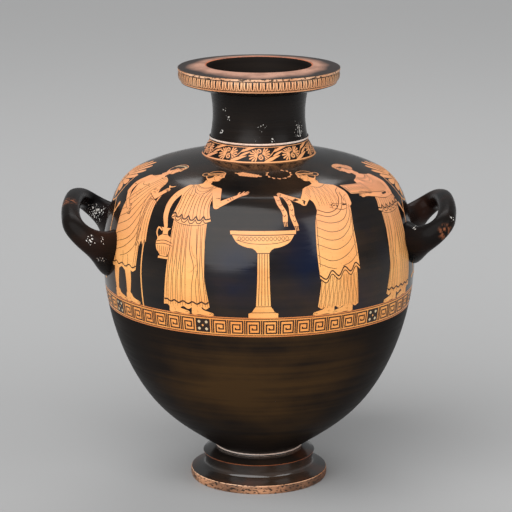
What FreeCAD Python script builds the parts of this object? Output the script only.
import FreeCAD, Part
import math
import os
import re

import Sketcher

# A hydria: the Greek water jar, with two side handles to lift it by and one at the back to pour by.
# The origin lies on the ground under the jar's axis, +Z is up and the jar's front faces -Y.
# The jar was thrown in sections that are luted edge to edge, so the seats below are shared values.

SIZES = {
    # Foot: a thrown ring in two degrees, hollow underneath
    "foot_rest_radius": 72.1,
    "foot_rest_width": 14,
    "foot_edge_radius": 73.7,
    "foot_edge_height": 9.6,
    "foot_edge_bulge": 0.6,
    "foot_waist_radius": 58.4,
    "foot_step_radius": 60.3,
    "foot_step_height": 28.1,
    "foot_height": 33,
    "stem_radius": 42.5,
    "stem_bore_radius": 34,
    # Fillet: a ring of clay round the stem, between the foot and the bowl
    "fillet_radius": 47.4,
    "fillet_height": 3.2,
    "fillet_land": 3.2,
    # Bowl and shoulder: the two thrown halves of the body
    "body_wall": 6,
    "base_radius": 46,
    "floor_thickness": 8,
    "bowl_height": 213.8,
    "belly_radius": 166.6,
    "shoulder_height": 105.9,
    # Neck: a flare that stands on the shoulder, then the tapering tube
    "neck_base_radius": 60.4,
    "neck_seat_width": 8,
    "flare_height": 16.4,
    "neck_wall": 6,
    "neck_waist_radius": 48.7,
    "neck_top_radius": 51.8,
    "neck_height": 48.7,
    # Ridge: the raised ring on top of the flare
    "ridge_seat_radius": 51.2,
    "ridge_height": 3,
    "ridge_proud": 1.5,
    # Mouth: the overhanging lip, with a plain band over an egg-shaped moulding
    "lip_rise": 8.1,
    "lip_underside_radius": 81.9,
    "lip_radius": 85.4,
    "lip_height": 15.6,
    "lip_band_height": 2.6,
    "lip_groove_height": 1.1,
    "lip_groove_depth": 1.3,
    "lip_foot_height": 1.4,
    "lip_moulding_proud": 1.9,
    "lip_crown": 2.3,
    "opening_radius": 54,
    "opening_rounding": 3,
    # Side handles: a grip and two flared roots each, pulled by hand, so no two are quite alike
    "grip_reach": 32,
    "grip_thickness": 19,
    "grip_breadth": 20,
    "arm_thickness": 24,
    "arm_breadth": 22,
    "root_breadth": 33,
    "left_root_thickness": 56,
    "left_root_spread": 57,
    "left_arm_spread": 77,
    "left_root_rise": 16,
    "left_root_tilt": -2,
    "left_grip_rise": 35.5,
    "right_root_thickness": 52,
    "right_root_spread": 43,
    "right_arm_spread": 65,
    "right_root_rise": 19.5,
    "right_root_tilt": -4,
    "right_grip_rise": 32,
    # Back handle: a strap from the neck over to the shoulder
    "strap_reach": 59.3,
    "strap_root_drop": 14,
    "strap_width": 27,
    "strap_thickness": 14,
    "strap_root_width": 38,
    "strap_root_thickness": 21,
}

# Heights of the seats above the ground, each stacked on the one below it
BODY_BASE = "(foot_height + fillet_height)"
BELLY = f"({BODY_BASE} + bowl_height)"
NECK_BASE = f"({BELLY} + shoulder_height)"
RIDGE_FOOT = f"({NECK_BASE} + flare_height)"
RIDGE_TOP = f"({RIDGE_FOOT} + ridge_height)"
MOUTH_SEAT = f"({RIDGE_TOP} + neck_height)"
LIP_FOOT = f"({MOUTH_SEAT} + lip_rise)"
LIP_TOP = f"({LIP_FOOT} + lip_height)"
OPENING = f"({LIP_TOP} + lip_crown)"

# Radii that two pieces share where one stands on the other
FILLET_FOOT_RADIUS = "(stem_radius + fillet_land)"
SHOULDER_BORE = "(neck_base_radius - neck_seat_width)"
MOUTH_BORE = "(neck_top_radius - neck_wall)"

# Poles of the curved outlines, as shares of the run and the rise from the first pole to the last
CAVETTO_SHARES = ((0, 0), (0.5, 0.1), (1.02, 0.1), (1.12, 0.45), (0.877, 1))
HOLLOW_SHARES = ((0, 0), (0.08, 0.4), (0.8, 0.45), (1, 1))
BOWL_SHARES = ((0, 0), (0.28, 0.11), (0.69, 0.24), (1, 0.73), (1, 1))
SHOULDER_SHARES = ((0, 0), (0, 0.16), (0.1, 0.62), (0.25, 0.77), (0.3, 0.81), (0.6, 0.935), (1, 1))
NECK_WAIST_SHARE = 1.3
LIP_UNDERSIDE_SHARES = ((0, 0), (0.2, 0.1), (0.6, 0.45), (1, 1))
MOUTH_INSIDE_SHARES = ((0, 0), (0.27, 0), (0.32, 0.25), (0.8, 0.6), (1, 1))

# Stations of a side handle: along each arm, as shares of the way to the middle of the grip,
# and from the end of the arm round to that middle, in degrees
ARM_SHARES = (-0.3, -0.06, 0.16)
ARM_END_SHARE = 0.43
GRIP_ANGLES = (0, 20, 42, 66, 90)
# The middle pole of a handle's side view, as shares of its reach and its rise
GRIP_POLE_SHARES = (0.86, 0.58)

# Stations along the back handle: shares of its reach, of its drop, and of its root's size
STRAP_STATION_SHARES = (
    (-0.1, 0.04, 1), (0.14, -0.04, 0.45), (0.48, -0.1, 0), (0.8, 0, 0),
    (0.96, 0.26, 0), (1, 0.54, 0), (0.985, 0.8, 0.45), (0.965, 1, 1),
)
STRAP_FOOT_SHARE = 0.8

# Outer poles of a closed cubic curve stand this many times its half width from the middle
CLOSED_POLE_SHARE = 1.5

document = FreeCAD.newDocument("Hydria")
sizes = document.addObject("Spreadsheet::Sheet", "Sizes")
for row, (name, number) in enumerate(SIZES.items(), start=1):
    sizes.set(f"A{row}", name)
    sizes.set(f"B{row}", str(number))
    sizes.setAlias(f"B{row}", name)
document.recompute()


def bound(text):
    """Spell an expression for the sheet: each size's name becomes a reference to its cell."""
    return re.sub(r"[a-z]\w+", lambda word: f"Sizes.{word[0]}" if word[0] in SIZES else word[0], text)


def value(text):
    """The present value of an expression, to draw a sketch near its final form."""
    return float(sizes.evalExpression(bound(text)))


def between(start, end, shares):
    """Places between two places, each given as shares of the run and of the rise."""
    places = []
    for run_share, rise_share in shares:
        radius = f"({start[0]} + ({end[0]} - ({start[0]})) * {run_share})"
        height = f"({start[1]} + ({end[1]} - ({start[1]})) * {rise_share})"
        places.append((radius, height))
    return places


def vector(place):
    """A sketch point at the present value of a place."""
    return FreeCAD.Vector(value(place[0]), value(place[1]), 0)


def new_body(name):
    """A sub-part, whose label names its file."""
    body = document.addObject("PartDesign::Body", name)
    body.Label = name
    return body


def new_sketch(body, name):
    """An upright sketch through the jar's axis, on the body's own plane where it has a body."""
    if body is None:
        return document.addObject("Sketcher::SketchObject", name)
    sketch = body.newObject("Sketcher::SketchObject", name)
    plane = next(feature for feature in body.Origin.OriginFeatures if feature.Role == "XZ_Plane")
    sketch.AttachmentSupport = [(plane, "")]
    sketch.MapMode = "FlatFace"
    return sketch


def fix_point(sketch, geometry, point, place):
    """Bind a point of the sketch to a place, whose coordinates are expressions."""
    for kind, axis, text in (("DistanceX", -2, place[0]), ("DistanceY", -1, place[1])):
        if text == "0":
            sketch.addConstraint(Sketcher.Constraint("PointOnObject", geometry, point, axis))
            continue
        constraint = Sketcher.Constraint(kind, -1, 1, geometry, point, value(text))
        index = sketch.addConstraint(constraint)
        sketch.setExpression(f"Constraints[{index}]", bound(text))


def add_poles(sketch, curve, points):
    """Show a curve's poles as construction circles and return them, all of one weight."""
    circles = []
    for number, point in enumerate(points):
        circle = sketch.addGeometry(Part.Circle(point, FreeCAD.Vector(0, 0, 1), 1), True)
        if circles:
            sketch.addConstraint(Sketcher.Constraint("Equal", circle, circles[0]))
        else:
            sketch.addConstraint(Sketcher.Constraint("Weight", circle, 1.0))
        control = "InternalAlignment:Sketcher::BSplineControlPoint"
        sketch.addConstraint(Sketcher.Constraint(control, circle, 3, curve, number))
        circles.append(circle)
    return circles


def add_bead(sketch, foot, proud, top):
    """Draw an arc from one place up to another, which stands proud of the straight line."""
    run, rise = f"({top[0]} - ({foot[0]}))", f"({top[1]} - ({foot[1]}))"
    outward = FreeCAD.Vector(value(rise), -value(run), 0).normalize() * value(proud)
    middle = (vector(foot) + vector(top)) / 2 + outward
    geometry = sketch.addGeometry(Part.Arc(vector(foot), middle, vector(top)), False)
    squared = f"({run} * {run} + {rise} * {rise})"
    back = f"({squared} / 4 - ({proud}) * ({proud})) / (2 * ({proud}) * sqrt({squared}))"
    centre = f"({foot[0]} + {top[0]}) / 2 - {rise} * {back}"
    index = sketch.addConstraint(Sketcher.Constraint("DistanceX", -1, 1, geometry, 3, value(centre)))
    sketch.setExpression(f"Constraints[{index}]", bound(centre))
    return geometry


def add_curve(sketch, places):
    """Draw a line through two places, or a smooth cubic curve with a pole at each of more."""
    if isinstance(places[1], str):
        return add_bead(sketch, *places)
    points = [vector(place) for place in places]
    if len(points) == 2:
        return sketch.addGeometry(Part.LineSegment(*points), False)
    inner_knots = len(points) - 4
    curve = Part.BSplineCurve()
    knots = list(range(inner_knots + 2))
    curve.buildFromPolesMultsKnots(points, [4] + [1] * inner_knots + [4], knots, False, 3)
    geometry = sketch.addGeometry(curve, False)
    circles = add_poles(sketch, geometry, points)
    for circle, place in zip(circles[1:-1], places[1:-1]):
        fix_point(sketch, circle, 3, place)
    return geometry


def draw_outline(body, name, curves):
    """A closed outline in the radius and height plane, each curve starting where the last ends."""
    sketch = new_sketch(body, name)
    drawn = [add_curve(sketch, places) for places in curves]
    for geometry, following, places in zip(drawn, drawn[1:] + drawn[:1], curves):
        sketch.addConstraint(Sketcher.Constraint("Coincident", geometry, 2, following, 1))
        fix_point(sketch, geometry, 2, places[-1])
    return sketch


def turn(body, name, curves):
    """Turn a closed outline round the jar's axis."""
    sketch = draw_outline(body, f"{name}_outline", curves)
    turned = body.newObject("PartDesign::Revolution", name)
    turned.Profile = sketch
    turned.ReferenceAxis = (sketch, ["V_Axis"])
    turned.Angle = 360


def chain(*places):
    """Straight lines from each place to the next."""
    return [list(pair) for pair in zip(places, places[1:])]


# Outlines of the wall that more than one piece uses: its own piece, and the roots of the handles
BASE_EDGE = ("base_radius", BODY_BASE)
BELLY_EDGE = ("belly_radius", BELLY)
NECK_FOOT = ("neck_base_radius", NECK_BASE)
FLARE_TOP = ("ridge_seat_radius", RIDGE_FOOT)
RIDGE_SEAT_TOP = ("ridge_seat_radius", RIDGE_TOP)
NECK_TOP = ("neck_top_radius", MOUTH_SEAT)
BOWL_CURVE = between(BASE_EDGE, BELLY_EDGE, BOWL_SHARES)
SHOULDER_CURVE = between(BELLY_EDGE, NECK_FOOT, SHOULDER_SHARES)


def neck_curve(foot, top, waist):
    """The hollow curve of the neck between two places, drawn in to its waist."""
    low = f"({foot[0]} + ({waist} - ({foot[0]})) * {NECK_WAIST_SHARE})"
    high = f"({top[0]} + ({waist} - ({top[0]})) * {NECK_WAIST_SHARE})"
    rise = f"(({top[1]}) - ({foot[1]})) / 3"
    return [foot, (low, f"({foot[1]} + {rise})"), (high, f"({top[1]} - {rise})"), top]


NECK_CURVE = neck_curve(RIDGE_SEAT_TOP, NECK_TOP, "neck_waist_radius")


def make_foot():
    """The foot: a flat ring to stand on, a rounded edge, a step, and the stem that bears the bowl."""
    body = new_body("foot")
    rest = ("foot_rest_radius", "0")
    edge = ("foot_edge_radius", "foot_edge_height")
    waist = ("foot_waist_radius", "foot_step_height")
    step = ("foot_step_radius", "foot_step_height")
    seat = (f"({FILLET_FOOT_RADIUS} + foot_edge_bulge)", "foot_height")
    stem_foot = ("stem_radius", "foot_height")
    stem_top = ("stem_radius", BODY_BASE)
    bore_top = ("stem_bore_radius", BODY_BASE)
    rest_inside = ("(foot_rest_radius - foot_rest_width)", "0")
    cavetto = between(edge, waist, CAVETTO_SHARES)
    cavetto[-1] = step
    curves = [[rest, "foot_edge_bulge", edge], cavetto]
    curves += chain(step, seat, stem_foot, stem_top, bore_top)
    curves.append(between(bore_top, rest_inside, [(1 - run, 1 - rise) for run, rise in HOLLOW_SHARES[::-1]]))
    curves += chain(rest_inside, rest)
    turn(body, "foot_ring", curves)


def make_fillet():
    """The fillet: a small rounded ring that sits on the foot and round its stem."""
    body = new_body("foot_fillet")
    foot = (FILLET_FOOT_RADIUS, "foot_height")
    top = (FILLET_FOOT_RADIUS, BODY_BASE)
    inner_foot = ("stem_radius", "foot_height")
    inner_top = ("stem_radius", BODY_BASE)
    curves = [[foot, f"fillet_radius - {FILLET_FOOT_RADIUS}", top]]
    curves += chain(top, inner_top, inner_foot, foot)
    turn(body, "fillet_ring", curves)


def make_bowl():
    """The lower body: an open bowl with a floor, standing on the stem and the fillet."""
    body = new_body("lower_body")
    floor = ("0", f"({BODY_BASE} + floor_thickness)")
    floor_edge = ("base_radius", floor[1])
    inside_edge = ("(belly_radius - body_wall)", BELLY)
    curves = [BOWL_CURVE]
    curves += chain(BELLY_EDGE, inside_edge)
    curves.append(between(floor_edge, inside_edge, BOWL_SHARES)[::-1])
    curves += chain(floor_edge, floor, ("0", BODY_BASE), BASE_EDGE)
    turn(body, "bowl", curves)


def make_shoulder():
    """The upper body: from the belly's seam over the shoulder to the flat seat of the neck."""
    body = new_body("shoulder")
    inside_edge = ("(belly_radius - body_wall)", BELLY)
    bore_top = (SHOULDER_BORE, NECK_BASE)
    bore_foot = (SHOULDER_BORE, f"({NECK_BASE} - body_wall)")
    curves = [SHOULDER_CURVE]
    curves += chain(NECK_FOOT, bore_top, bore_foot)
    curves.append(between(inside_edge, bore_foot, SHOULDER_SHARES)[::-1])
    curves += chain(inside_edge, BELLY_EDGE)
    turn(body, "dome", curves)


def make_neck():
    """The neck: a tube with a flared base, and a narrow plain seat for the ridge."""
    body = new_body("neck")
    bore_foot = (SHOULDER_BORE, NECK_BASE)
    bore_ridge = ("(ridge_seat_radius - neck_wall)", RIDGE_FOOT)
    bore_top = (MOUTH_BORE, MOUTH_SEAT)
    curves = chain(NECK_FOOT, FLARE_TOP, RIDGE_SEAT_TOP)
    curves.append(NECK_CURVE)
    curves += chain(NECK_TOP, bore_top)
    curves.append(neck_curve(bore_ridge, bore_top, "(neck_waist_radius - neck_wall)")[::-1])
    curves += chain(bore_ridge, bore_foot, NECK_FOOT)
    turn(body, "tube", curves)


def make_ridge():
    """The ridge: a half-round ring on the neck's seat."""
    body = new_body("neck_ridge")
    curves = [[FLARE_TOP, "ridge_proud", RIDGE_SEAT_TOP]]
    curves += chain(RIDGE_SEAT_TOP, FLARE_TOP)
    turn(body, "ridge_ring", curves)


def make_mouth():
    """The mouth: a broad lip that overhangs the neck, with its moulded edge."""
    body = new_body("mouth")
    bore = (MOUTH_BORE, MOUTH_SEAT)
    lip_foot = ("lip_underside_radius", LIP_FOOT)
    moulding_foot = ("lip_underside_radius", f"({LIP_FOOT} + lip_foot_height)")
    band_foot = ("lip_radius", f"({LIP_TOP} - lip_band_height)")
    groove_radius = "(lip_radius - lip_groove_depth)"
    groove_top = (groove_radius, band_foot[1])
    groove_foot = (groove_radius, f"({band_foot[1]} - lip_groove_height)")
    lip_top = ("lip_radius", LIP_TOP)
    crown = ("(opening_radius + opening_rounding)", OPENING)
    curves = [between(NECK_TOP, lip_foot, LIP_UNDERSIDE_SHARES)]
    curves += chain(lip_foot, moulding_foot)
    curves.append([moulding_foot, "lip_moulding_proud", groove_foot])
    curves += chain(groove_foot, groove_top, band_foot, lip_top, crown)
    curves.append(between(crown, bore, MOUTH_INSIDE_SHARES))
    curves += chain(bore, NECK_TOP)
    turn(body, "lip", curves)


def make_wall_solid():
    """The space inside the outer wall, which the handles' roots are cut back to."""
    curves = [BOWL_CURVE, SHOULDER_CURVE]
    curves += chain(NECK_FOOT, FLARE_TOP, RIDGE_SEAT_TOP)
    curves.append(NECK_CURVE)
    curves += chain(NECK_TOP, ("0", MOUTH_SEAT), ("0", BODY_BASE), BASE_EDGE)
    outline = draw_outline(None, "wall_outline", curves)
    outline.Placement = FreeCAD.Placement(FreeCAD.Vector(), FreeCAD.Rotation(FreeCAD.Vector(1, 0, 0), 90))
    solid = document.addObject("Part::Revolution", "wall_solid")
    solid.Source = outline
    solid.Axis = FreeCAD.Vector(0, 0, 1)
    solid.Angle = 360
    solid.Solid = True
    return solid


def pulled_bar(stations):
    """A smooth bar through oval sections: each has a middle, an upward side, a breadth, a thickness."""
    rows = [[], [], [], []]
    middles = [station[0] for station in stations]
    for number, (middle, upward, breadth, thickness) in enumerate(stations):
        following = middles[min(number + 1, len(middles) - 1)]
        along = following - middles[max(number - 1, 0)]
        sideways = upward.cross(along).normalize() * breadth / 2 * CLOSED_POLE_SHARE
        upright = along.cross(sideways).normalize() * thickness / 2 * CLOSED_POLE_SHARE
        for row, offset in zip(rows, (upright, -sideways, -upright, sideways)):
            row.append(middle + offset)
    places = [0]
    for middle, following in zip(middles, middles[1:]):
        places.append(places[-1] + middle.distanceToPoint(following))
    lines = []
    for row in rows:
        line = Part.BSplineCurve()
        line.interpolate(Points=row, Parameters=places)
        lines.append(line)
    skin = Part.BSplineSurface()
    poles = [line.getPoles() for line in lines]
    mults, knots = lines[0].getMultiplicities(), lines[0].getKnots()
    skin.buildFromPolesMultsKnots(poles, [1] * 5, mults, list(range(5)), knots, True, False, 3, 3)
    ends = [Part.Face(Part.Wire(skin.vIso(knot).toShape())) for knot in (knots[0], knots[-1])]
    shell = Part.makeShell([skin.toShape(), *ends])
    shell.sewShape()
    return Part.makeSolid(shell)


def make_handle(name, stations, wall, turned=0):
    """A handle: its bar, turned to its side of the jar, with its roots cut to fit the wall."""
    bar = document.addObject("Part::Feature", f"{name}_bar")
    bar.Shape = pulled_bar(stations)
    bar.Placement = FreeCAD.Placement(FreeCAD.Vector(), FreeCAD.Rotation(turned, 0, 0))
    handle = document.addObject("Part::Cut", name)
    handle.Label = name
    handle.Base = bar
    handle.Tool = wall


def arm_place(side, gone, spread):
    """A place on a side handle's middle line, and the direction that its side view calls up."""
    root_spread = value(f"{side}_root_spread")
    root_reach = math.sqrt(value("belly_radius") ** 2 - root_spread ** 2)
    reach = value("belly_radius + grip_reach") - root_reach
    rise = value(f"{side}_grip_rise")
    first, first_slope = 2 * gone * (1 - gone), 2 - 4 * gone
    out = root_reach + reach * (first * GRIP_POLE_SHARES[0] + gone * gone)
    height = value(f"{BELLY} + {side}_root_rise") + rise * (first * GRIP_POLE_SHARES[1] + gone * gone)
    out_pace = reach * (first_slope * GRIP_POLE_SHARES[0] + 2 * gone)
    rise_pace = rise * (first_slope * GRIP_POLE_SHARES[1] + 2 * gone)
    return FreeCAD.Vector(out, spread, height), FreeCAD.Vector(-rise_pace, 0, out_pace).normalize()


def side_handle_half(side, hand):
    """Stations of a side handle from one root to the middle of the grip."""
    arm_spread = value(f"{side}_arm_spread")
    splay = arm_spread - value(f"{side}_root_spread")
    stations = []
    for gone in ARM_SHARES:
        left = 1 - gone / ARM_END_SHARE
        root_share = min(left, 1) ** 3
        spread = arm_spread - splay * (root_share + 2 * max(left - 1, 0))
        middle, upward = arm_place(side, gone, hand * spread)
        middle.z += hand * value(f"{side}_root_tilt") / 2 * root_share
        stations.append((middle, upward, root_share, 1))
    for angle in GRIP_ANGLES:
        way = math.sin(math.radians(angle))
        spread = arm_spread * math.cos(math.radians(angle))
        gone = ARM_END_SHARE + (1 - ARM_END_SHARE) * way
        stations.append((*arm_place(side, gone, hand * spread), 0, 1 - way))
    return stations


def make_side_handle(side, turned, wall):
    """A side handle: two splayed arms rise from the belly and meet in a grip."""
    stations = []
    whole = side_handle_half(side, -1) + side_handle_half(side, 1)[-2::-1]
    for middle, upward, root_share, arm_share in whole:
        across = []
        for kind, root_name in (("breadth", "root_breadth"), ("thickness", f"{side}_root_thickness")):
            grip, arm, root = value(f"grip_{kind}"), value(f"arm_{kind}"), value(root_name)
            slender = grip + (arm - grip) * arm_share
            across.append(slender + (root - slender) * root_share)
        stations.append((middle, upward, *across))
    make_handle(f"side_handle_{side}", stations, wall, turned)


def make_back_handle(wall):
    """The back handle: a strap that leaves the neck below the lip and comes down on the shoulder."""
    top = value(f"{MOUTH_SEAT} - strap_root_drop")
    drop = top - value(f"{BELLY} + shoulder_height * {STRAP_FOOT_SHARE}")
    width, thickness = value("strap_width"), value("strap_thickness")
    root_width, root_thickness = value("strap_root_width"), value("strap_root_thickness")
    places = []
    for reach_share, drop_share, _ in STRAP_STATION_SHARES:
        out = value("neck_waist_radius") + value("strap_reach") * reach_share
        places.append(FreeCAD.Vector(0, out, top - drop * drop_share))
    stations = []
    for number, (_, _, root_share) in enumerate(STRAP_STATION_SHARES):
        along = places[min(number + 1, len(places) - 1)] - places[max(number - 1, 0)]
        upward = FreeCAD.Vector(1, 0, 0).cross(along).normalize()
        breadth = width + (root_width - width) * root_share
        depth = thickness + (root_thickness - thickness) * root_share
        stations.append((places[number], upward, breadth, depth))
    make_handle("back_handle", stations, wall)


make_foot()
make_fillet()
make_bowl()
make_shoulder()
make_neck()
make_ridge()
make_mouth()
wall_solid = make_wall_solid()
make_side_handle("right", 0, wall_solid)
make_side_handle("left", 180, wall_solid)
make_back_handle(wall_solid)
document.recompute()

for item in document.Objects:
    if "Invalid" in item.State or "Error" in item.State:
        raise RuntimeError(f"{item.Name} could not be made: {item.State}")

os.makedirs("parts", exist_ok=True)
for piece in document.findObjects("PartDesign::Body") + document.findObjects("Part::Cut"):
    if piece.Shape.isNull() or not piece.Shape.isValid() or len(piece.Shape.Solids) != 1:
        raise RuntimeError(f"{piece.Label} is not one sound solid")
    piece.Shape.exportStep(f"parts/{piece.Label}.step")
    box = piece.Shape.optimalBoundingBox()
    print(f"{piece.Label}: {piece.Shape.Volume / 1000:.1f} cm3, z {box.ZMin:.1f} to {box.ZMax:.1f}")
